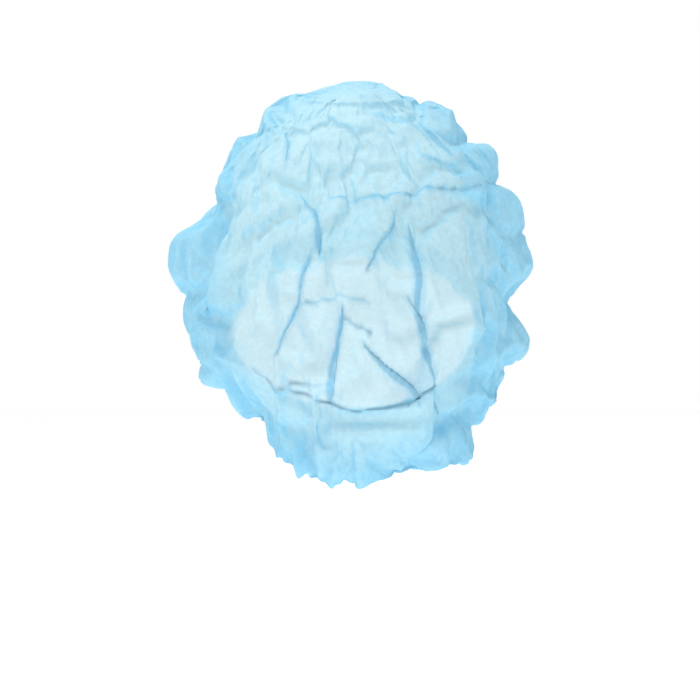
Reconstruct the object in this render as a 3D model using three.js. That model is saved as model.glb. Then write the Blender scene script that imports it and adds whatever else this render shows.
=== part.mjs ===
// Disposable hairnet: one round sheet of thin non-woven cloth, gathered on an elastic loop, in the
// puffed shape that it takes when worn. The loop runs from the nape, past the ears, up to the forehead.
// The cloth stands out round it as a loose bag, hangs below it at the nape, turns under and is hemmed
// round the elastic.
// Millimetres. +Z is up, +Y is the way the wearer faces, and +X is the wearer's right hand.
// The origin is the centre of the elastic loop, where the head goes in.
import * as THREE from "three";

const { degToRad, lerp, smoothstep } = THREE.MathUtils;

// Driving dimensions
const WALL = 1.0;
const LOOP_HALF_WIDTH = 78;
const LOOP_HALF_LENGTH = 96;
const LOOP_TILT = degToRad(36);
const ELASTIC_DIAMETER = 3.6;
const ELASTIC_GAP = 0.5;

// Facets round the cap, from the middle of the sheet to the hem, round the hem's roll and round the elastic
const BEARINGS = 84;
const BAG_STEPS = 22;
const HEM_STEPS = 5;
const ELASTIC_SIDES = 6;
const BEARING_STEP = (2 * Math.PI) / BEARINGS;
const SHARE_STEP = 1 / BAG_STEPS;

// The hem rolls round the elastic, from the side that lies on the head over the top to the outside.
const HEM_RADIUS = ELASTIC_DIAMETER / 2 + ELASTIC_GAP + WALL;
const HEM_START = degToRad(210);
const HEM_END = degToRad(-40);

// The smooth bag, as rings from the middle of the sheet to the elastic. Each ring is an ellipse through a
// point on the cap's back line and one on its front line, both [y, z], and is left and right wide.
const RINGS = [
  { back: [-68, 130], front: [-68, 130], left: 0, right: 0 },
  { back: [-88, 118], front: [-45, 133], left: 27, right: 30 },
  { back: [-108, 96], front: [-12, 135], left: 53, right: 58 },
  { back: [-124, 60], front: [38, 130], left: 72, right: 80 },
  { back: [-131, 12], front: [76, 112], left: 86, right: 97 },
  { back: [-126, -36], front: [98, 82], left: 100, right: 105 },
  { back: [-112, -78], front: [104, 58], left: 95, right: 104 },
  { back: [-95, -95], front: [97, 43], left: 86, right: 97 },
  { back: [-82, -84], front: [86, 44], left: 81, right: 88 },
  { back: [-78, -57], front: [78, 57], left: 78, right: 78 },
];
const LAST_RING = 1 - 1 / (RINGS.length - 1);

// Ribs, puffs and folds move the cloth away from a point in the middle of the bag, and fade out from this
// share of the way, counted from the middle of the sheet to the elastic.
const BAG_MIDDLE = new THREE.Vector3(0, -10, 20);
const LOOSE_END = 0.85;

// Ribs: the loose cloth stands out between the gathers, most at the turn-under and least at the nape.
const RIB_COUNT = 16;
const RIB_HEIGHT = 9;
const RIB_MEAN = 0.5;
const RIB_FROM = 0.3;
const RIB_FULL = 0.72;
const RIB_END = 0.97;
const RIB_AT_NAPE = 0.35;
const RIB_UNEVEN = [
  { turns: 2, by: 0.16, phase: 0.9 },
  { turns: 5, by: 0.09, phase: 2.3 },
];

// Puffs and dents that break the outline: where, how far round that point the cloth is moved, and how
// far it stands out there. A dent stands in. They run fore and aft, so they are longer in y.
const PUFFS = [
  { x: -107, y: -20, z: 45, round: 42, out: 15 },
  { x: -104, y: -20, z: 4, round: 31, out: 3 },
  { x: -98, y: -20, z: -27, round: 20, out: -5 },
  { x: -98, y: -30, z: -41, round: 22, out: 15 },
  { x: -95, y: -20, z: 63, round: 21, out: -8 },
  { x: -74, y: -60, z: -80, round: 59, out: -16 },
  { x: -48, y: -40, z: 128, round: 28, out: 4 },
  { x: -65, y: -45, z: 118, round: 17, out: -4 },
  { x: 16, y: -30, z: 138, round: 39, out: 4 },
  { x: 40, y: -30, z: 134, round: 25, out: -4 },
  { x: 60, y: -40, z: 125, round: 28, out: 5 },
  { x: 73, y: -40, z: 112, round: 18, out: -6 },
  { x: 87, y: -40, z: 99, round: 25, out: 7 },
  { x: 96, y: -30, z: 83, round: 18, out: -4 },
  { x: 102, y: -30, z: 67, round: 28, out: 7 },
  { x: 107, y: -10, z: 32, round: 31, out: 5 },
  { x: 107, y: -10, z: 10, round: 23, out: -12 },
  { x: 106, y: -15, z: -12, round: 28, out: 5 },
  { x: 96, y: -50, z: -48, round: 34, out: -7 },
  { x: 84, y: -66, z: -66, round: 28, out: -9 },
  { x: 70, y: -80, z: -92, round: 34, out: 10 },
  { x: -32, y: -90, z: -95, round: 34, out: 2 },
  { x: 0, y: 100, z: 66, round: 56, out: 6 },
  { x: 62, y: 70, z: 40, round: 48, out: 7 },
  { x: -60, y: 74, z: 46, round: 45, out: 6 },
];
const PUFF_LENGTH = 3;

// Main folds on the back, as ridges seen from behind: [x, z] at the two ends, width and height
const FOLDS = [
  { from: [-33, 76], to: [-20, 46], wide: 9, high: 3 },
  { from: [-28, 40], to: [-32, 4], wide: 8, high: 3 },
  { from: [-32, 4], to: [-48, -34], wide: 8, high: 2.5 },
  { from: [-6, 4], to: [-14, -56], wide: 8, high: 3 },
  { from: [29, 60], to: [6, 20], wide: 8, high: 2.5 },
  { from: [37, 56], to: [42, -12], wide: 10, high: 4 },
  { from: [42, -12], to: [56, -58], wide: 10, high: 4 },
  { from: [4, -16], to: [36, -50], wide: 10, high: 3.5 },
  { from: [-20, 74], to: [86, 76], wide: 9, high: 2.5 },
  { from: [76, -6], to: [58, -42], wide: 9, high: -3 },
];
const FOLDS_BEHIND = -20;

const backLine = new THREE.SplineCurve(RINGS.map((ring) => new THREE.Vector2(...ring.back)));
const frontLine = new THREE.SplineCurve(RINGS.map((ring) => new THREE.Vector2(...ring.front)));
const widthLine = new THREE.SplineCurve(RINGS.map((ring) => new THREE.Vector2(ring.left, ring.right)));
const loopUp = new THREE.Vector3(0, -Math.sin(LOOP_TILT), Math.cos(LOOP_TILT));

// A point on the elastic's centre line. The bearing is 0 at the nape and a quarter turn at the right ear.
function loopPoint(bearing) {
  const along = -LOOP_HALF_LENGTH * Math.cos(bearing);
  return new THREE.Vector3(
    LOOP_HALF_WIDTH * Math.sin(bearing),
    along * Math.cos(LOOP_TILT),
    along * Math.sin(LOOP_TILT),
  );
}

// The direction away from the loop's middle, square to the elastic and in the loop's plane
function loopOutward(bearing) {
  const along = -LOOP_HALF_WIDTH * Math.cos(bearing);
  return new THREE.Vector3(
    LOOP_HALF_LENGTH * Math.sin(bearing),
    along * Math.cos(LOOP_TILT),
    along * Math.sin(LOOP_TILT),
  ).normalize();
}

// A point at some distance from the elastic's centre line, at an angle counted from outward to up
function roundElastic(bearing, radius, angle) {
  return loopPoint(bearing)
    .addScaledVector(loopOutward(bearing), radius * Math.cos(angle))
    .addScaledVector(loopUp, radius * Math.sin(angle));
}

// How far forward a bearing is: 0 at the nape and 1 at the forehead
function forwardness(bearing) {
  return (1 - Math.cos(bearing)) / 2;
}

// The smooth bag, which comes in to where the hem's roll starts
function bagPoint(bearing, share) {
  const back = backLine.getPoint(share);
  const front = frontLine.getPoint(share);
  const width = widthLine.getPoint(share);
  const side = Math.sin(bearing);
  const point = new THREE.Vector3(
    side * (side < 0 ? width.x : width.y),
    lerp(back.x, front.x, forwardness(bearing)),
    lerp(back.y, front.y, forwardness(bearing)),
  );
  const hemStart = roundElastic(bearing, HEM_RADIUS, HEM_START).sub(loopPoint(bearing));
  return point.addScaledVector(hemStart, smoothstep(share, LAST_RING, 1));
}

function ribLift(bearing, share) {
  let uneven = bearing;
  for (const wave of RIB_UNEVEN) uneven += wave.by * Math.sin(wave.turns * bearing + wave.phase);
  const rib = Math.abs(Math.cos((RIB_COUNT * uneven) / 2)) - RIB_MEAN;
  const loose = lerp(RIB_AT_NAPE, 1, smoothstep(2 * forwardness(bearing), 0, 1));
  const rise = smoothstep(share, RIB_FROM, RIB_FULL) * (1 - smoothstep(share, RIB_FULL, RIB_END));
  return RIB_HEIGHT * loose * rise * rib;
}

function puffLift(point) {
  let puff = 0;
  let dent = 0;
  for (const { x, y, z, round, out } of PUFFS) {
    const away = Math.hypot(point.x - x, (point.y - y) / PUFF_LENGTH, point.z - z) / round;
    const lift = out * Math.max(0, 1 - away * away) ** 2;
    puff = Math.max(puff, lift);
    dent = Math.min(dent, lift);
  }
  return puff + dent;
}

function foldLift(point) {
  if (point.y > FOLDS_BEHIND) return 0;
  let lift = 0;
  const seen = new THREE.Vector3(point.x, 0, point.z);
  const nearest = new THREE.Vector3();
  for (const { from, to, wide, high } of FOLDS) {
    const upper = new THREE.Vector3(from[0], 0, from[1]);
    const lower = new THREE.Vector3(to[0], 0, to[1]);
    new THREE.Line3(upper, lower).closestPointToPoint(seen, true, nearest);
    const ridge = high * Math.max(0, 1 - nearest.distanceTo(seen) / wide);
    if (Math.abs(ridge) > Math.abs(lift)) lift = ridge;
  }
  return lift;
}

// Past a share of 1 the cloth is the hem, at this angle of its roll.
function hemAngle(share) {
  return lerp(HEM_START, HEM_END, (share - 1) / (HEM_STEPS * SHARE_STEP));
}

// The outer face of the cloth
function clothPoint(bearing, share) {
  if (share > 1) return roundElastic(bearing, HEM_RADIUS, hemAngle(share));
  const point = bagPoint(bearing, share);
  const lift = ribLift(bearing, share) + puffLift(point) + foldLift(point);
  const outward = point.clone().sub(BAG_MIDDLE).normalize();
  return point.addScaledVector(outward, lift * (1 - smoothstep(share, LOOSE_END, 1)));
}

// The way the outer face looks, from the facets on either side. In the middle of the sheet, where all the
// bearings meet, it looks the same way as the loop, and on the hem it looks away from the elastic.
function facing(bearing, share) {
  if (share === 0) return loopUp.clone();
  if (share >= 1) return roundElastic(bearing, 1, hemAngle(share)).sub(loopPoint(bearing));
  const along = clothPoint(bearing, share + SHARE_STEP).sub(clothPoint(bearing, share - SHARE_STEP));
  const around = clothPoint(bearing + BEARING_STEP, share).sub(clothPoint(bearing - BEARING_STEP, share));
  return along.cross(around).normalize();
}

// Splits the outer face's four-cornered facets along the same diagonal as the inner face's, so that the
// wall keeps its thickness where the cloth is twisted. Each facet comes as the triangles a b d and c d b.
function matchFacets(geometry, innerRows, facetRows) {
  const corners = geometry.getIndex();
  for (let first = 0; first < corners.count; first += 6) {
    if ((first / 6) % facetRows < innerRows) continue;
    const [a, b, d, c] = corners.array.slice(first, first + 4);
    corners.set([a, b, c, a, c, d], first);
  }
}

// The crown's rows run from the middle of the sheet over the inner face to the hem's edge, and back over
// the outer face. The lathe joins them into facets, and each corner is then put in its place on the cloth.
function makeCrown() {
  const lastRow = BAG_STEPS + HEM_STEPS;
  const rows = [];
  for (let row = 0; row <= lastRow; row++) rows.push({ share: row / BAG_STEPS, depth: WALL });
  for (let row = lastRow; row >= 0; row--) rows.push({ share: row / BAG_STEPS, depth: 0 });
  const atMiddle = (index) => index === 0 || index === rows.length - 1;
  const outline = rows.map((row, index) => new THREE.Vector2(atMiddle(index) ? 0 : 1, index));
  const geometry = new THREE.LatheGeometry(outline, BEARINGS);
  const place = geometry.getAttribute("position");
  for (let index = 0; index < place.count; index++) {
    const { share, depth } = rows[index % rows.length];
    const bearing = (Math.floor(index / rows.length) % BEARINGS) * BEARING_STEP;
    const point = clothPoint(bearing, share).addScaledVector(facing(bearing, share), -depth);
    place.setXYZ(index, point.x, point.y, point.z);
  }
  matchFacets(geometry, lastRow + 1, rows.length - 1);
  geometry.computeVertexNormals();
  return geometry;
}

// The elastic is a torus of any size, whose corners are put round the loop.
function makeElastic() {
  const geometry = new THREE.TorusGeometry(2, 1, ELASTIC_SIDES, BEARINGS);
  const place = geometry.getAttribute("position");
  const corners = BEARINGS + 1;
  for (let index = 0; index < place.count; index++) {
    const bearing = (index % corners % BEARINGS) * BEARING_STEP;
    const angle = (2 * Math.PI * Math.floor(index / corners)) / ELASTIC_SIDES;
    const point = roundElastic(bearing, ELASTIC_DIAMETER / 2, angle);
    place.setXYZ(index, point.x, point.y, point.z);
  }
  geometry.computeVertexNormals();
  return geometry;
}

const clothFinish = new THREE.MeshStandardMaterial({ color: 0xa6dcf0, roughness: 0.85, metalness: 0 });
const elasticFinish = new THREE.MeshStandardMaterial({ color: 0xeef4f6, roughness: 0.7, metalness: 0 });

function piece(name, geometry, finish) {
  const mesh = new THREE.Mesh(geometry, finish);
  mesh.name = name;
  return mesh;
}

const hairnet = new THREE.Group();
hairnet.add(piece("crown", makeCrown(), clothFinish));
hairnet.add(piece("elastic_band", makeElastic(), elasticFinish));

export default hairnet;
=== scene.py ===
import math

import bpy
import numpy as np
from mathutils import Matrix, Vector, noise


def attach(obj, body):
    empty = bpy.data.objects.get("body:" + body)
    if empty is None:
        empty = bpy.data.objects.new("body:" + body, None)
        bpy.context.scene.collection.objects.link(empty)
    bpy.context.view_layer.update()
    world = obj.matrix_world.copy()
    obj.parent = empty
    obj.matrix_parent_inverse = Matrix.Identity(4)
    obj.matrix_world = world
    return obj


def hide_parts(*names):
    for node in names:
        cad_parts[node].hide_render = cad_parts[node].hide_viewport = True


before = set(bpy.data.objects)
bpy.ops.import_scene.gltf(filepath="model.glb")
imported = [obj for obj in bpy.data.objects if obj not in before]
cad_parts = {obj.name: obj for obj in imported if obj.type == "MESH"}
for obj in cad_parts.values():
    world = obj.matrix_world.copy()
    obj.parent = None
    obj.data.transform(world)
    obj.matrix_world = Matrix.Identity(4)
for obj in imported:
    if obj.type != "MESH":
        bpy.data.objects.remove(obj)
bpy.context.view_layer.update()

# Elastic band
# A thread-covered elastic joined into a loop, low at the back and high at the front as it is worn. It lies
# loose in the hem, stretched, and draws the cloth into gathers.
MM = 0.001
FULL_TURN = 2 * math.pi
LOOP_HALF_WIDTH = 78 * MM
LOOP_HALF_LENGTH = 96 * MM
LOOP_TILT = math.radians(36)
ELASTIC_RADIUS = 1.8 * MM
ELASTIC_STEPS = 1080
ELASTIC_SIDES = 16
BRAID_STRANDS = 4
BRAID_TURNS = 150
BRAID_RELIEF = 0.22 * MM
ELASTIC_WHITE = (0.86, 0.90, 0.92, 1.0)
ELASTIC_PAINTED_SHADE = (0.66, 0.74, 0.78, 1.0)
ELASTIC_ROUGHNESS = 0.75
THREAD_SCALE = 900.0
THREAD_DETAIL = 3.0
THREAD_BUMP = 0.4
BUMP_DEPTH = 0.0002


def loop_point(bearing):
    """A point on the elastic's centre line.

    The bearing is 0 at the back and a quarter turn at the wearer's right.
    """
    along = -LOOP_HALF_LENGTH * np.cos(bearing)
    across = LOOP_HALF_WIDTH * np.sin(bearing)
    return np.stack([across, along * math.cos(LOOP_TILT), along * math.sin(LOOP_TILT)], axis=-1)


def loop_outward(bearing):
    """The direction away from the loop's middle, square to the elastic and in the loop's plane."""
    along = -LOOP_HALF_WIDTH * np.cos(bearing)
    across = LOOP_HALF_LENGTH * np.sin(bearing)
    way = np.stack([across, along * math.cos(LOOP_TILT), along * math.sin(LOOP_TILT)], axis=-1)
    return way / np.linalg.norm(way, axis=-1, keepdims=True)


def round_elastic(bearing, radius, angle):
    """A point at some distance from the elastic's centre line, at an angle counted from outward to up."""
    up = np.array([0, -math.sin(LOOP_TILT), math.cos(LOOP_TILT)])
    out = loop_outward(bearing) * (radius * np.cos(angle))[..., None]
    return loop_point(bearing) + out + up * (radius * np.sin(angle))[..., None]


def add_skin(name, corners, faces, smooth=True):
    """A mesh object from corner places and faces."""
    mesh = bpy.data.meshes.new(name)
    mesh.from_pydata(corners.tolist(), [], faces)
    mesh.polygons.foreach_set("use_smooth", [smooth] * len(mesh.polygons))
    mesh.update()
    skin = bpy.data.objects.new(name, mesh)
    bpy.context.collection.objects.link(skin)
    return skin


def ring_faces(rows, columns, first=0, closed_rows=False):
    """Four-cornered faces of a grid that closes on itself round its columns."""
    faces = []
    for row in range(rows if closed_rows else rows - 1):
        upper = first + row * columns
        lower = first + (row + 1) % rows * columns
        for column in range(columns):
            beside = (column + 1) % columns
            faces.append((upper + column, lower + column, lower + beside, upper + beside))
    return faces


def new_finish(name):
    """A material with no nodes in it yet."""
    finish = bpy.data.materials.new(name)
    finish.use_nodes = True
    finish.node_tree.nodes.clear()
    return finish


def add_node(finish, kind, **inputs):
    """A node of the finish, with its inputs set to a value or joined to another node's output."""
    node = finish.node_tree.nodes.new(kind)
    for label, given in inputs.items():
        socket = node.inputs[label.replace("_", " ")]
        if isinstance(given, bpy.types.NodeSocket):
            finish.node_tree.links.new(given, socket)
        else:
            socket.default_value = given
    return node


bearing, angle = np.meshgrid(
    np.linspace(0, FULL_TURN, ELASTIC_STEPS, endpoint=False),
    np.linspace(0, FULL_TURN, ELASTIC_SIDES, endpoint=False),
    indexing="ij",
)
over = np.abs(np.cos(BRAID_STRANDS * angle / 2 + BRAID_TURNS * bearing))
under = np.abs(np.cos(BRAID_STRANDS * angle / 2 - BRAID_TURNS * bearing))
braid = ELASTIC_RADIUS - BRAID_RELIEF * (1 - np.maximum(over, under))
elastic = add_skin(
    "elastic_cord",
    round_elastic(bearing, braid, angle).reshape(-1, 3),
    ring_faces(ELASTIC_STEPS, ELASTIC_SIDES, closed_rows=True),
)
elastic_finish = new_finish("covered_elastic")
threads = add_node(elastic_finish, "ShaderNodeTexNoise", Scale=THREAD_SCALE, Detail=THREAD_DETAIL)
thread_bump = add_node(
    elastic_finish,
    "ShaderNodeBump",
    Strength=THREAD_BUMP,
    Distance=BUMP_DEPTH,
    Height=threads.outputs["Fac"],
)
# The threads' low places are painted darker, as painted shade between the threads.
painted_thread_shade = add_node(elastic_finish, "ShaderNodeValToRGB", Fac=threads.outputs["Fac"])
painted_thread_shade.color_ramp.elements[0].color = ELASTIC_PAINTED_SHADE
painted_thread_shade.color_ramp.elements[1].color = ELASTIC_WHITE
elastic_shader = add_node(
    elastic_finish,
    "ShaderNodeBsdfPrincipled",
    Base_Color=painted_thread_shade.outputs["Color"],
    Roughness=ELASTIC_ROUGHNESS,
    Normal=thread_bump.outputs["Normal"],
)
add_node(elastic_finish, "ShaderNodeOutputMaterial", Surface=elastic_shader.outputs["BSDF"])
elastic.data.materials.append(elastic_finish)
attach(elastic, "root")
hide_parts("elastic_band")

# Crown
# One round sheet of thin spunbond cloth, 533 mm across when flat. It stands out as a loose bag, turns under
# at its lower edge and is gathered into a hem that is rolled round the elastic.
BEARINGS = 270
BAG_ROWS = 78
HEM_ROWS = 7
HEM_RADIUS = 2.5 * MM
HEM_START = math.radians(210)
HEM_END = math.radians(-40)
# Rings from the middle of the sheet to the elastic, in mm: depth and height at the back and the front, and
# the half width on the left and the right
RINGS = [
    {"back": (-68, 130), "front": (-68, 130), "wide": (0, 0)},
    {"back": (-88, 118), "front": (-45, 133), "wide": (27, 30)},
    {"back": (-108, 96), "front": (-12, 135), "wide": (53, 58)},
    {"back": (-124, 60), "front": (38, 130), "wide": (72, 80)},
    {"back": (-131, 12), "front": (76, 112), "wide": (86, 97)},
    {"back": (-126, -36), "front": (98, 82), "wide": (100, 105)},
    {"back": (-112, -78), "front": (104, 58), "wide": (95, 104)},
    {"back": (-95, -95), "front": (97, 43), "wide": (86, 97)},
    {"back": (-82, -84), "front": (86, 44), "wide": (81, 88)},
    {"back": (-78, -57), "front": (78, 57), "wide": (78, 78)},
]
LAST_RING = 1 - 1 / (len(RINGS) - 1)


def blend_in(value, start, end):
    """0 before start, 1 after end, and a smooth rise between."""
    way = np.clip((value - start) / (end - start), 0, 1)
    return way * way * (3 - 2 * way)


def ring_values(column, share):
    """The rings' values in a column, joined into a smooth curve and read at a share of the way."""
    knots = np.array([ring[column] for ring in RINGS]) * MM
    last = len(knots) - 1
    place = np.clip(share, 0, 1) * last
    first = np.minimum(place.astype(int), last - 1)
    part = (place - first)[..., None]
    before = knots[np.maximum(first - 1, 0)]
    here = knots[first]
    there = knots[first + 1]
    after = knots[np.minimum(first + 2, last)]
    leave = (there - before) / 2
    arrive = (after - here) / 2
    cubic = 2 * here - 2 * there + leave + arrive
    square = 3 * there - 3 * here - 2 * leave - arrive
    return ((cubic * part + square) * part + leave) * part + here


def smooth_bag(bearing, share):
    """The bag without folds, from the middle of the sheet to the hem.

    Past a share of 1 it is the hem's roll round the elastic.
    """
    back = ring_values("back", share)
    front = ring_values("front", share)
    wide = ring_values("wide", share)
    side = np.sin(bearing)
    forward = ((1 - np.cos(bearing)) / 2)[..., None]
    across = side * np.where(side < 0, wide[..., 0], wide[..., 1])
    depth_height = back + (front - back) * forward
    bag = np.concatenate([across[..., None], depth_height], axis=-1)
    hem_radius = np.full_like(bearing, HEM_RADIUS)
    hem_top = round_elastic(bearing, hem_radius, np.full_like(bearing, HEM_START))
    bag = bag + (hem_top - loop_point(bearing)) * blend_in(share, LAST_RING, 1)[..., None]
    rolled = np.clip((share - 1) * BAG_ROWS / HEM_ROWS, 0, 1)
    hem = round_elastic(bearing, hem_radius, HEM_START + (HEM_END - HEM_START) * rolled)
    return np.where((share > 1)[..., None], hem, bag)


# Large ribs of loose cloth between the gathers, unevenly spaced and lowest at the back. All that lifts the
# cloth off the smooth bag fades out short of the hem.
RIB_COUNT = 16
RIB_HEIGHT = 6 * MM
RIB_MEAN = 0.5
RIB_AT_BACK = 0.35
RIB_FROM = 0.3
RIB_FULL = 0.72
RIB_END = 0.97
RIB_WAVES = [
    {"by": 0.16, "turns": 2, "phase": 0.9},
    {"by": 0.09, "turns": 5, "phase": 2.3},
]
LIFT_FADE = 0.85
BAG_MIDDLE = np.array([0, -10, 20]) * MM
LEAST_LENGTH = 1e-12


def add_waves(start, bearing, waves):
    """A value that runs ahead and behind in waves round the bag."""
    total = start
    for wave in waves:
        total = total + wave["by"] * np.sin(wave["turns"] * bearing + wave["phase"])
    return total


def uneven_bearing(bearing):
    """The bearing, running ahead and behind, because gathers aren't evenly spaced."""
    return add_waves(bearing, bearing, RIB_WAVES)


def rib_lift(bearing, share):
    """How far the ribs stand off the smooth bag."""
    rib = np.abs(np.cos(RIB_COUNT * uneven_bearing(bearing) / 2)) - RIB_MEAN
    loose = RIB_AT_BACK + (1 - RIB_AT_BACK) * blend_in(1 - np.cos(bearing), 0, 1)
    rise = blend_in(share, RIB_FROM, RIB_FULL) * (1 - blend_in(share, RIB_FULL, RIB_END))
    return RIB_HEIGHT * loose * rise * rib


def short_of_hem(share):
    """1 on the bag, falling to 0 at the hem."""
    return 1 - blend_in(share, LIFT_FADE, 1)


# Puffs and dents that break the outline, in mm: the middle, the reach across and the lift
PUFFS = [
    {"at": (-107, -20, 45), "round": 42, "out": 15},
    {"at": (-104, -20, 4), "round": 31, "out": 3},
    {"at": (-98, -20, -27), "round": 20, "out": -5},
    {"at": (-98, -30, -41), "round": 22, "out": 15},
    {"at": (-95, -20, 63), "round": 21, "out": -8},
    {"at": (-74, -60, -80), "round": 59, "out": -16},
    {"at": (-48, -40, 128), "round": 28, "out": 4},
    {"at": (-65, -45, 118), "round": 17, "out": -4},
    {"at": (16, -30, 138), "round": 39, "out": 4},
    {"at": (40, -30, 134), "round": 25, "out": -4},
    {"at": (60, -40, 125), "round": 28, "out": 5},
    {"at": (73, -40, 112), "round": 18, "out": -6},
    {"at": (87, -40, 99), "round": 25, "out": 7},
    {"at": (96, -30, 83), "round": 18, "out": -4},
    {"at": (102, -30, 67), "round": 28, "out": 7},
    {"at": (107, -10, 32), "round": 31, "out": 5},
    {"at": (107, -10, 10), "round": 23, "out": -12},
    {"at": (106, -15, -12), "round": 28, "out": 5},
    {"at": (96, -50, -48), "round": 34, "out": -7},
    {"at": (84, -66, -66), "round": 28, "out": -9},
    {"at": (70, -80, -92), "round": 34, "out": 10},
    {"at": (-32, -90, -95), "round": 34, "out": 2},
    {"at": (0, 100, 66), "round": 56, "out": 6},
    {"at": (62, 70, 40), "round": 48, "out": 7},
    {"at": (-60, 74, 46), "round": 45, "out": 6},
]
PUFF_LENGTH = 3


def puff_lift(points):
    """How far the puffs and dents move the cloth. They are longer fore and aft than across."""
    puff = np.zeros(points.shape[:-1])
    dent = np.zeros(points.shape[:-1])
    for bump in PUFFS:
        apart = (points - np.array(bump["at"]) * MM) / np.array([1, PUFF_LENGTH, 1])
        away = np.linalg.norm(apart, axis=-1) / (bump["round"] * MM)
        lift = bump["out"] * MM * np.maximum(0, 1 - away * away) ** 2
        puff = np.maximum(puff, lift)
        dent = np.minimum(dent, lift)
    return puff + dent


def normals_of(points):
    """The way each point of the sheet's grid looks."""
    around = np.roll(points, -1, axis=1) - np.roll(points, 1, axis=1)
    along = np.gradient(points, axis=0)
    look = np.cross(along, around)
    return look / np.maximum(np.linalg.norm(look, axis=-1, keepdims=True), LEAST_LENGTH)


def crumple(points, size, seed):
    """Sharp-edged creases of crushed cloth: noise that is folded at its middle value."""
    folded = np.empty(points.shape[:-1])
    for place in np.ndindex(folded.shape):
        folded[place] = abs(noise.noise(Vector(points[place] / size) + Vector((seed, 0, 0))))
    return folded


def bag_form(bearing, share):
    """The bag with its ribs, puffs and dents, which lift the cloth away from the bag's middle."""
    bag = smooth_bag(bearing, share)
    lift = (rib_lift(bearing, share) + puff_lift(bag)) * short_of_hem(share)
    away = bag - BAG_MIDDLE
    return bag + away / np.linalg.norm(away, axis=-1, keepdims=True) * lift[..., None]


def sheet_grid(fineness):
    """The bearing and the share of the way to the hem, for each point of the sheet's grid."""
    shares = np.arange(fineness, fineness * (BAG_ROWS + HEM_ROWS) + 1) / (fineness * BAG_ROWS)
    bearings = np.linspace(0, FULL_TURN, fineness * BEARINGS, endpoint=False)
    share, bearing = np.meshgrid(shares, bearings, indexing="ij")
    return bearing, share


# The loose cloth buckles into folds, which a short cloth simulation finds. The cloth wants to be larger,
# starts with faint folds running down to the hem, and is held softly in place.
SPARE_CLOTH = 0.08
SETTLE_STEPS = 14
SOLVER_QUALITY = 5
CORNER_MASS = 0.02
STRETCH_STIFFNESS = 20
SHEAR_STIFFNESS = 10
BENDING_STIFFNESS = 0.25
SOFT_HOLD = 0.06
HOLD_STRENGTH = 2.0
FIRM_MIDDLE = 0.07
FIRM_HEM = 0.97
FAINT_FOLDS = [
    {"count": 9, "high": 1.5},
    {"count": 14, "high": 1.5},
    {"count": 23, "high": 1.2},
    {"count": 37, "high": 0.9},
]
FAINT_SWING = 1.5
FAINT_BENDS = 3
FAINT_FROM = 0.15
FAINT_FULL = 0.5
FOLDS_FADE = 0.9
UNEVEN_HEIGHT = 1.2 * MM
UNEVEN_SIZE = 0.03
UNEVEN_SEED = 3.0
UNEVEN_MEAN = 0.2
chance = np.random.default_rng(5)


def faint_folds(bearing, share):
    """Low folds that run from the middle of the bag to the hem and wander to the side."""
    lift = np.zeros_like(bearing)
    for fold in FAINT_FOLDS:
        turn, wander = chance.uniform(0, FULL_TURN, 2)
        swing = FAINT_SWING * np.sin(FAINT_BENDS * math.pi * share + wander)
        lift += fold["high"] * MM * np.cos(fold["count"] * uneven_bearing(bearing) + turn + swing)
    return lift * blend_in(share, FAINT_FROM, FAINT_FULL) * (1 - blend_in(share, FOLDS_FADE, FIRM_HEM))


def sheet_faces(rows, columns):
    """Faces of the sheet: a fan round the middle corner, then rings."""
    fan = [(0, 1 + column, 1 + (column + 1) % columns) for column in range(columns)]
    return fan + ring_faces(rows, columns, first=1)


def with_middle(points):
    """The sheet's corners as one list, with the middle of the sheet first."""
    return np.concatenate([points[0].mean(axis=0, keepdims=True), points.reshape(-1, 3)])


bearing, share = sheet_grid(1)
bag = bag_form(bearing, share)
uneven = UNEVEN_HEIGHT * (crumple(bag, UNEVEN_SIZE, UNEVEN_SEED) - UNEVEN_MEAN) * short_of_hem(share)
uneven += faint_folds(bearing, share)
slack = add_skin(
    "slack_cloth",
    with_middle(bag + normals_of(bag) * uneven[..., None]),
    sheet_faces(*share.shape),
)
held = slack.vertex_groups.new(name="held")
held.add([0], 1.0, "REPLACE")
for row, row_share in enumerate(share[:, 0]):
    firm = row_share < FIRM_MIDDLE or row_share > FIRM_HEM
    corners = list(range(1 + row * BEARINGS, 1 + (row + 1) * BEARINGS))
    held.add(corners, 1.0 if firm else SOFT_HOLD, "REPLACE")
buckle = slack.modifiers.new("buckle", "CLOTH").settings
buckle.quality = SOLVER_QUALITY
buckle.mass = CORNER_MASS
buckle.tension_stiffness = STRETCH_STIFFNESS
buckle.compression_stiffness = STRETCH_STIFFNESS
buckle.shear_stiffness = SHEAR_STIFFNESS
buckle.bending_stiffness = BENDING_STIFFNESS
buckle.shrink_min = -SPARE_CLOTH
buckle.vertex_group_mass = "held"
buckle.pin_stiffness = HOLD_STRENGTH
buckle.effector_weights.gravity = 0
for step in range(1, SETTLE_STEPS + 1):
    bpy.context.scene.frame_set(step)
settled = slack.evaluated_get(bpy.context.evaluated_depsgraph_get()).data.vertices
places = np.empty(len(settled) * 3)
settled.foreach_get("co", places)
bpy.context.scene.frame_set(1)
bpy.data.objects.remove(slack)
buckled = places.reshape(-1, 3)[1:].reshape(*share.shape, 3) - bag

# Only the folds are kept, not the slow drift of the whole bag, and the taut middle of the back keeps less.
# The loose cloth is set in, so that the crests of its folds stay on the outline.
DRIFT_ROUNDS = 80
FOLDS_TAUT = 0.7
FOLDS_LOOSE = 1.1
FOLDS_INSET = 3.5 * MM
INSET_FADE = 0.8
TAUT_ACROSS = 78 * MM
TAUT_UP = 108 * MM
TAUT_MIDDLE = 28 * MM
LOOSE_FROM = 0.8
LOOSE_FULL = 1.15


def looseness(points):
    """0 where the cloth lies taut in the middle, 1 where it stands loose round it."""
    off = np.hypot(points[..., 0] / TAUT_ACROSS, (points[..., 2] - TAUT_MIDDLE) / TAUT_UP)
    return blend_in(off, LOOSE_FROM, LOOSE_FULL)


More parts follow.
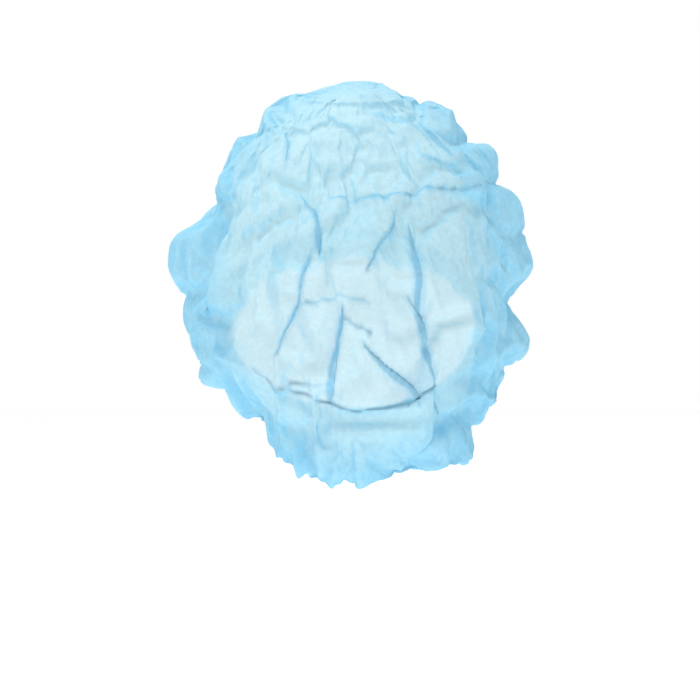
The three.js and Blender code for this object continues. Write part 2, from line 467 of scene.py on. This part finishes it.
drift = buckled.copy()
for _ in range(DRIFT_ROUNDS):
    drift = (drift + np.roll(drift, 1, axis=1) + np.roll(drift, -1, axis=1)) / 3
    drift[1:-1] = (drift[:-2] + drift[1:-1] + drift[2:]) / 3
loose = looseness(bag)
kept = (FOLDS_TAUT + (FOLDS_LOOSE - FOLDS_TAUT) * loose) * (1 - blend_in(share, FOLDS_FADE, FIRM_HEM))
inset = FOLDS_INSET * loose * (1 - blend_in(share, INSET_FADE, FIRM_HEM))
folds = (buckled - drift) * kept[..., None] - normals_of(bag) * inset[..., None]


def finer(points):
    """Twice as many rows and bearings, with the new ones on smooth curves through the old.

    A new point is nine sixteenths of each neighbour, less a sixteenth of each of the next two.
    """
    pair = points + np.roll(points, -1, axis=1)
    beside = 9 * pair - np.roll(points, 1, axis=1) - np.roll(points, -2, axis=1)
    wide = np.stack([points, beside / 16], axis=2).reshape(len(points), -1, points.shape[-1])
    padded = np.concatenate([wide[:1], wide, wide[-1:]])
    between = 9 * (padded[1:-2] + padded[2:-1]) - padded[:-3] - padded[3:]
    rows = np.empty((2 * len(wide) - 1, *wide.shape[1:]))
    rows[0::2] = wide
    rows[1::2] = between / 16
    return rows


bearing, share = sheet_grid(2)
bag = bag_form(bearing, share)
cloth = bag + finer(folds)

# The small gathers start in the bag and are deepest on the turn-under, just short of the elastic. Some are
# deeper than others, and they end as puckers in the hem.
GATHERS = 72
GATHER_HEIGHT = 5.0 * MM
GATHER_FROM = 0.68
GATHER_FULL = 0.92
GATHER_WAVES = [
    {"by": 2.2, "turns": 7, "phase": 0},
    {"by": 1.4, "turns": 17, "phase": 1},
]
DEPTH_MEAN = 0.7
DEPTH_CHANGE = 0.3
DEPTH_TURNS = 29
DEPTH_SWING = 2
SWING_TURNS = 3
PUCKER_HEIGHT = 1.5 * MM
phase = add_waves(GATHERS * uneven_bearing(bearing), bearing, GATHER_WAVES)
swing = DEPTH_SWING * np.sin(SWING_TURNS * bearing)
gather = np.abs(np.cos(phase / 2)) * (DEPTH_MEAN + DEPTH_CHANGE * np.sin(DEPTH_TURNS * bearing + swing))
near_hem = blend_in(share, GATHER_FULL, 1.0)
gather_size = GATHER_HEIGHT * blend_in(share, GATHER_FROM, GATHER_FULL) * (1 - near_hem)
pucker_size = PUCKER_HEIGHT * near_hem
cloth = cloth + normals_of(bag) * (gather * (gather_size + pucker_size))[..., None]

# Fine creases all over the bag, as cloth has that was packed flat
CREASE_DEPTH = 0.7 * MM
CREASE_SIZE = 0.013
CREASE_SEED = 9.0
CREASE_FROM = 0.06
crease = CREASE_DEPTH * crumple(cloth, CREASE_SIZE, CREASE_SEED) * short_of_hem(share)
crease = crease * blend_in(share, 0, CREASE_FROM)
cloth = cloth - normals_of(cloth) * crease[..., None]

# Pleats in the back, lapped flat, in mm: where they run as seen from behind, across and up, and how wide they
# lap at their first and last end
PLEATS = [
    {"run": [(-35, 76), (-27, 66), (-22, 54), (-20, 34)], "lap": (2.5, 5.0)},
    {"run": [(-27, 37), (-29, 18), (-32, 7), (-46, -28)], "lap": (4.0, 2.5)},
    {"run": [(-5, 3), (-9, -17), (-13, -47), (-13, -55)], "lap": (3.0, 5.5)},
    {"run": [(29, 60), (7, 22)], "lap": (4.0, 2.0)},
    {"run": [(37, 55), (38, 22), (40, 4), (43, -23), (48, -41), (59, -62)], "lap": (5.5, 8.0)},
    {"run": [(4, -17), (18, -31), (32, -42), (38, -55)], "lap": (2.0, 9.0)},
    {"run": [(29, 10), (34, 0), (38, -7)], "lap": (2.0, 3.0)},
    {"run": [(-31, 3), (-7, 9), (11, 5)], "lap": (2.2, 2.0)},
    {"run": [(-46, -43), (-32, -41), (-16, -43)], "lap": (2.0, 2.0)},
    {"run": [(-4, -4), (12, -13)], "lap": (2.2, 1.8)},
    {"run": [(-20, 74), (-4, 71), (17, 70), (44, 76), (66, 74), (77, 76), (90, 66)], "lap": (3.0, 3.4)},
    {"run": [(8, 121), (38, 117), (66, 107)], "lap": (2.6, 2.6)},
    {"run": [(41, 98), (59, 92), (76, 75)], "lap": (2.4, 2.8)},
    {"run": [(-40, 112), (-40, 94)], "lap": (2.4, 2.4)},
    {"run": [(-62, -28), (-44, -45), (-20, -55), (4, -58), (30, -54), (54, -38)], "lap": (2.4, 2.4)},
]
PLEAT_REACH = 16 * MM
PLEAT_LIFT = 1.1 * MM
PLEAT_OPENS = 0.12
PLEAT_CLOSES = 0.9
PLEATS_LAST_SHARE = 0.8
FACING_BACK = -0.1
UNDER_LAYER = -0.3
LIFT_REACH = 0.5
LEAST_LAP = 1e-6
ROUND_EDGE = 2.2 * MM
ROUND_STEPS = (-1, -0.5, 0, 0.5, 1)
EYE_BEHIND = 1.2
EYE_SCALE = 1.18
PAST_LAST_ROW = 1.001


def seen_from_behind(points):
    """Where each point shows across and up, for an eye level with the loop and well behind it."""
    nearer = EYE_SCALE / (points[..., 1] + EYE_BEHIND)
    return points[..., [0, 2]] * nearer[..., None]


def beside_run(seen, run):
    """How far each point is to the side of a run, the way across it, and the share of the run passed."""
    knots = np.array(run) * MM
    steps = np.diff(knots, axis=0)
    lengths = np.linalg.norm(steps, axis=1)
    passed = np.concatenate([[0], np.cumsum(lengths)]) / lengths.sum()
    nearest = np.full(seen.shape[:-1], np.inf)
    side = np.zeros(seen.shape[:-1])
    way = np.zeros(seen.shape)
    gone = np.zeros(seen.shape[:-1])
    for start, step, length, passed_before in zip(knots[:-1], steps, lengths, passed):
        apart = seen - start
        part = np.clip((apart @ step) / length**2, 0, 1)
        off = apart - part[..., None] * step
        far = np.linalg.norm(off, axis=-1)
        across = np.array([-step[1], step[0]]) / length
        closer = far < nearest
        nearest = np.where(closer, far, nearest)
        side = np.where(closer, np.where(off @ across < 0, -far, far), side)
        way = np.where(closer[..., None], across, way)
        gone = np.where(closer, passed_before + part * length / lengths.sum(), gone)
    return side, way, gone


def lap_over(side, half):
    """Where a point beside a pleat's run goes as the cloth is lapped: on, back under, and on again."""
    stretch = (PLEAT_REACH + half) / (PLEAT_REACH - half)
    before = -PLEAT_REACH + (side + PLEAT_REACH) * stretch
    after = -half + (side - half) * stretch
    return np.where(side < -half, before, np.where(side > half, after, -side))


def rounded_lap(side, half):
    """The lap with its two folded edges rounded, as the mean of laps a little to either side."""
    rounding = np.minimum(half / 2, ROUND_EDGE)
    laps = sum(lap_over(side + near * rounding, half) - near * rounding for near in ROUND_STEPS)
    return laps / len(ROUND_STEPS)


def read_between(points, row, column):
    """The grid's points read at places between its rows and columns."""
    row = np.clip(row, 0, len(points) - PAST_LAST_ROW)
    top = np.floor(row).astype(int)
    left = np.floor(column).astype(int)
    down = (row - top)[..., None]
    right = (column - left)[..., None]
    beside = (left + 1) % points.shape[1]
    left = left % points.shape[1]
    upper = points[top, left] * (1 - right) + points[top, beside] * right
    lower = points[top + 1, left] * (1 - right) + points[top + 1, beside] * right
    return upper * (1 - down) + lower * down


def along_way(first, second):
    """How far one set of directions runs along another, times their lengths."""
    return (first * second).sum(axis=-1)


look = normals_of(bag)
seen = seen_from_behind(bag)
down_step = np.gradient(bag, axis=0)
round_step = (np.roll(bag, -1, axis=1) - np.roll(bag, 1, axis=1)) / 2
down_size = along_way(down_step, down_step)
round_size = along_way(round_step, round_step)
skew = along_way(down_step, round_step)
row, column = np.indices(share.shape).astype(float)
raised = np.zeros(share.shape)
lapped_over = np.zeros(share.shape)
for pleat in PLEATS:
    side, way, gone = beside_run(seen, pleat["run"])
    first_lap, last_lap = pleat["lap"]
    ends = blend_in(gone, 0, PLEAT_OPENS) * (1 - blend_in(gone, PLEAT_CLOSES, 1.0))
    lap = (first_lap + (last_lap - first_lap) * gone) * MM * ends
    half = np.maximum(lap / 2, LEAST_LAP)
    lapped = rounded_lap(side, half)
    on_back = (look[..., 1] < FACING_BACK) & (share < PLEATS_LAST_SHARE)
    in_reach = (np.abs(side) < PLEAT_REACH) & on_back & (ends > 0)
    shift = np.where(in_reach, lapped - side, 0)
    near_edge = np.maximum(0, 1 - np.maximum(np.abs(side) - half, 0) / (LIFT_REACH * PLEAT_REACH))
    layer = np.clip(-side / half, UNDER_LAYER, 1) * near_edge**2
    raised = raised + np.where(in_reach, PLEAT_LIFT * layer * np.minimum(1, lap / MM), 0)
    lapped_over = np.where(in_reach & (np.abs(lapped) <= half), 1, lapped_over)
    across = np.stack([way[..., 0], np.zeros_like(side), way[..., 1]], axis=-1)
    push = (across - look * along_way(across, look)[..., None]) * shift[..., None]
    push_down = along_way(push, down_step)
    push_round = along_way(push, round_step)
    spread = down_size * round_size - skew * skew
    row = row + (push_down * round_size - push_round * skew) / spread
    column = column + (push_round * down_size - push_down * skew) / spread
cloth = read_between(cloth, row, column) + look * raised[..., None]
crown = add_skin("crown_cloth", with_middle(cloth), sheet_faces(*share.shape))

# Bunched and doubled cloth is bluer than cloth that lies taut and single. The steep flanks of folds are also
# painted darker and bluer, as painted shade.
TAUT_BLUE = (0.60, 0.82, 0.87, 1.0)
BUNCHED_AND_SHADED_BLUE = (0.35, 0.70, 0.87, 1.0)
LAPPED_TINT = 0.8
HEM_TINT_FROM = 0.9
HEM_TINT_FULL = 0.98
BUNCHED_TINT = 0.75
STEEP_PAINTED_SHADE = 0.6
STEEP_FROM = 0.03
STEEP_FULL = 0.35
steep = 1 - along_way(normals_of(cloth), look)
hem_tint = blend_in(share, HEM_TINT_FROM, HEM_TINT_FULL)
bunched = np.maximum(np.maximum(looseness(cloth), LAPPED_TINT * lapped_over), hem_tint)
blue_and_painted_shade = np.clip(BUNCHED_TINT * bunched + STEEP_PAINTED_SHADE * blend_in(steep, STEEP_FROM, STEEP_FULL), 0, 1)
# The looseness attribute holds the blue of bunched and doubled cloth together with the painted shade on fold
# flanks.
blue_and_shade_points = crown.data.attributes.new("looseness", "FLOAT", "POINT")
blue_and_shade_points.data.foreach_set("value", np.concatenate([blue_and_painted_shade[0, :1], blue_and_painted_shade.ravel()]))

# Matt fibres that let light through, with a cloud of thinner and thicker places that can be seen through
CLOTH_ROUGHNESS = 0.8
LIGHT_THROUGH = 0.42
CLOUD_SCALE = 260.0
CLOUD_DETAIL = 4.0
CLOUD_ROUGHNESS = 0.65
THIN_CLOUD = 0.3
THICK_CLOUD = 0.7
GAPS_WHERE_THIN = 0.26
GAPS_WHERE_THICK = 0.1
FIBRE_SCALE = 1400.0
FIBRE_DETAIL = 3.0
FIBRE_BUMP = 0.35
cloth_finish = new_finish("spunbond_cloth")
place = add_node(cloth_finish, "ShaderNodeTexCoord").outputs["Object"]
cloud = add_node(
    cloth_finish,
    "ShaderNodeTexNoise",
    Vector=place,
    Scale=CLOUD_SCALE,
    Detail=CLOUD_DETAIL,
    Roughness=CLOUD_ROUGHNESS,
)
fibre = add_node(
    cloth_finish,
    "ShaderNodeTexNoise",
    Vector=place,
    Scale=FIBRE_SCALE,
    Detail=FIBRE_DETAIL,
)
fibre_bump = add_node(
    cloth_finish,
    "ShaderNodeBump",
    Strength=FIBRE_BUMP,
    Distance=BUMP_DEPTH,
    Height=fibre.outputs["Fac"],
)
# Reads the blue of bunched cloth and the painted shade on fold flanks
blue_and_shade_share = add_node(cloth_finish, "ShaderNodeAttribute")
blue_and_shade_share.attribute_name = "looseness"
tone = add_node(cloth_finish, "ShaderNodeValToRGB", Fac=blue_and_shade_share.outputs["Fac"])
tone.color_ramp.elements[0].color = TAUT_BLUE
tone.color_ramp.elements[1].color = BUNCHED_AND_SHADED_BLUE
cloth_shader = add_node(
    cloth_finish,
    "ShaderNodeBsdfPrincipled",
    Base_Color=tone.outputs["Color"],
    Roughness=CLOTH_ROUGHNESS,
    Normal=fibre_bump.outputs["Normal"],
)
through = add_node(
    cloth_finish,
    "ShaderNodeBsdfTranslucent",
    Color=tone.outputs["Color"],
    Normal=fibre_bump.outputs["Normal"],
)
body = add_node(cloth_finish, "ShaderNodeMixShader", Fac=LIGHT_THROUGH)
cloth_finish.node_tree.links.new(cloth_shader.outputs["BSDF"], body.inputs[1])
cloth_finish.node_tree.links.new(through.outputs["BSDF"], body.inputs[2])
open_gaps = add_node(
    cloth_finish,
    "ShaderNodeMapRange",
    Value=cloud.outputs["Fac"],
    From_Min=THIN_CLOUD,
    From_Max=THICK_CLOUD,
    To_Min=GAPS_WHERE_THIN,
    To_Max=GAPS_WHERE_THICK,
)
gaps = add_node(cloth_finish, "ShaderNodeBsdfTransparent")
spunbond = add_node(cloth_finish, "ShaderNodeMixShader", Fac=open_gaps.outputs["Result"])
cloth_finish.node_tree.links.new(body.outputs["Shader"], spunbond.inputs[1])
cloth_finish.node_tree.links.new(gaps.outputs["BSDF"], spunbond.inputs[2])
add_node(cloth_finish, "ShaderNodeOutputMaterial", Surface=spunbond.outputs["Shader"])
crown.data.materials.append(cloth_finish)
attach(crown, "root")
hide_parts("crown")

# Floor, light and camera
# A pale floor that runs into white surroundings behind the cap, soft light from above, from the left and from
# low beside the eye, and a level eye behind the cap.
FLOOR_HEIGHT = -0.175
FLOOR_HALF = 4
FLOOR_PALE = (0.95, 0.95, 0.95, 1.0)
FLOOR_ROUGHNESS = 0.9
FLOOR_GLOW = 0.68
PURE_WHITE = (1.0, 1.0, 1.0, 1.0)
floor_corners = np.array(
    [
        (-FLOOR_HALF, -FLOOR_HALF, FLOOR_HEIGHT),
        (FLOOR_HALF, -FLOOR_HALF, FLOOR_HEIGHT),
        (FLOOR_HALF, FLOOR_HALF, FLOOR_HEIGHT),
        (-FLOOR_HALF, FLOOR_HALF, FLOOR_HEIGHT),
    ]
)
floor = add_skin("floor", floor_corners, [(0, 1, 2, 3)], smooth=False)
floor_finish = new_finish("pale_floor")
floor_shader = add_node(
    floor_finish,
    "ShaderNodeBsdfPrincipled",
    Base_Color=FLOOR_PALE,
    Roughness=FLOOR_ROUGHNESS,
    Emission_Color=PURE_WHITE,
    Emission_Strength=FLOOR_GLOW,
)
add_node(floor_finish, "ShaderNodeOutputMaterial", Surface=floor_shader.outputs["BSDF"])
floor.data.materials.append(floor_finish)

# The surroundings are white straight ahead of the eye and dimmer all round, so that they don't wash out
# the cloth
GLOW_FROM = 0.85
GLOW_FULL = 0.95
GLOW_ROUND = 0.28
GLOW_AHEAD = 1.0
world = bpy.data.worlds.new("white_surroundings")
bpy.context.scene.world = world
world.use_nodes = True
backdrop = world.node_tree.nodes["Background"]
backdrop.inputs["Color"].default_value = PURE_WHITE
look_way = add_node(world, "ShaderNodeTexCoord")
look_parts = add_node(world, "ShaderNodeSeparateXYZ", Vector=look_way.outputs["Generated"])
glow = add_node(
    world,
    "ShaderNodeMapRange",
    Value=look_parts.outputs["Y"],
    From_Min=GLOW_FROM,
    From_Max=GLOW_FULL,
    To_Min=GLOW_ROUND,
    To_Max=GLOW_AHEAD,
)
world.node_tree.links.new(glow.outputs["Result"], backdrop.inputs["Strength"])

LIGHTS = [
    {"name": "light_above", "at": (-0.2, -0.2, 1.35), "power": 15, "size": 0.45},
    {"name": "light_left", "at": (-1.4, -0.5, 0.5), "power": 4, "size": 0.3},
    {"name": "light_low", "at": (0.8, -1.2, -0.08), "power": 4, "size": 0.5},
]
for lit in LIGHTS:
    lamp = bpy.data.lights.new(lit["name"], "AREA")
    lamp.energy = lit["power"]
    lamp.size = lit["size"]
    light = bpy.data.objects.new(lit["name"], lamp)
    light.location = lit["at"]
    light.rotation_euler = (-Vector(lit["at"])).to_track_quat("-Z", "Y").to_euler()
    bpy.context.collection.objects.link(light)

EYE_AT = (-0.0012, -EYE_BEHIND, -0.0198)
LENS_LENGTH = 101
SENSOR_WIDTH = 36
camera = bpy.data.objects.new("camera", bpy.data.cameras.new("camera"))
camera.location = EYE_AT
camera.rotation_euler = (math.pi / 2, 0, 0)
camera.data.lens = LENS_LENGTH
camera.data.sensor_width = SENSOR_WIDTH
bpy.context.collection.objects.link(camera)
bpy.context.scene.camera = camera
bpy.context.scene.view_settings.view_transform = "Standard"
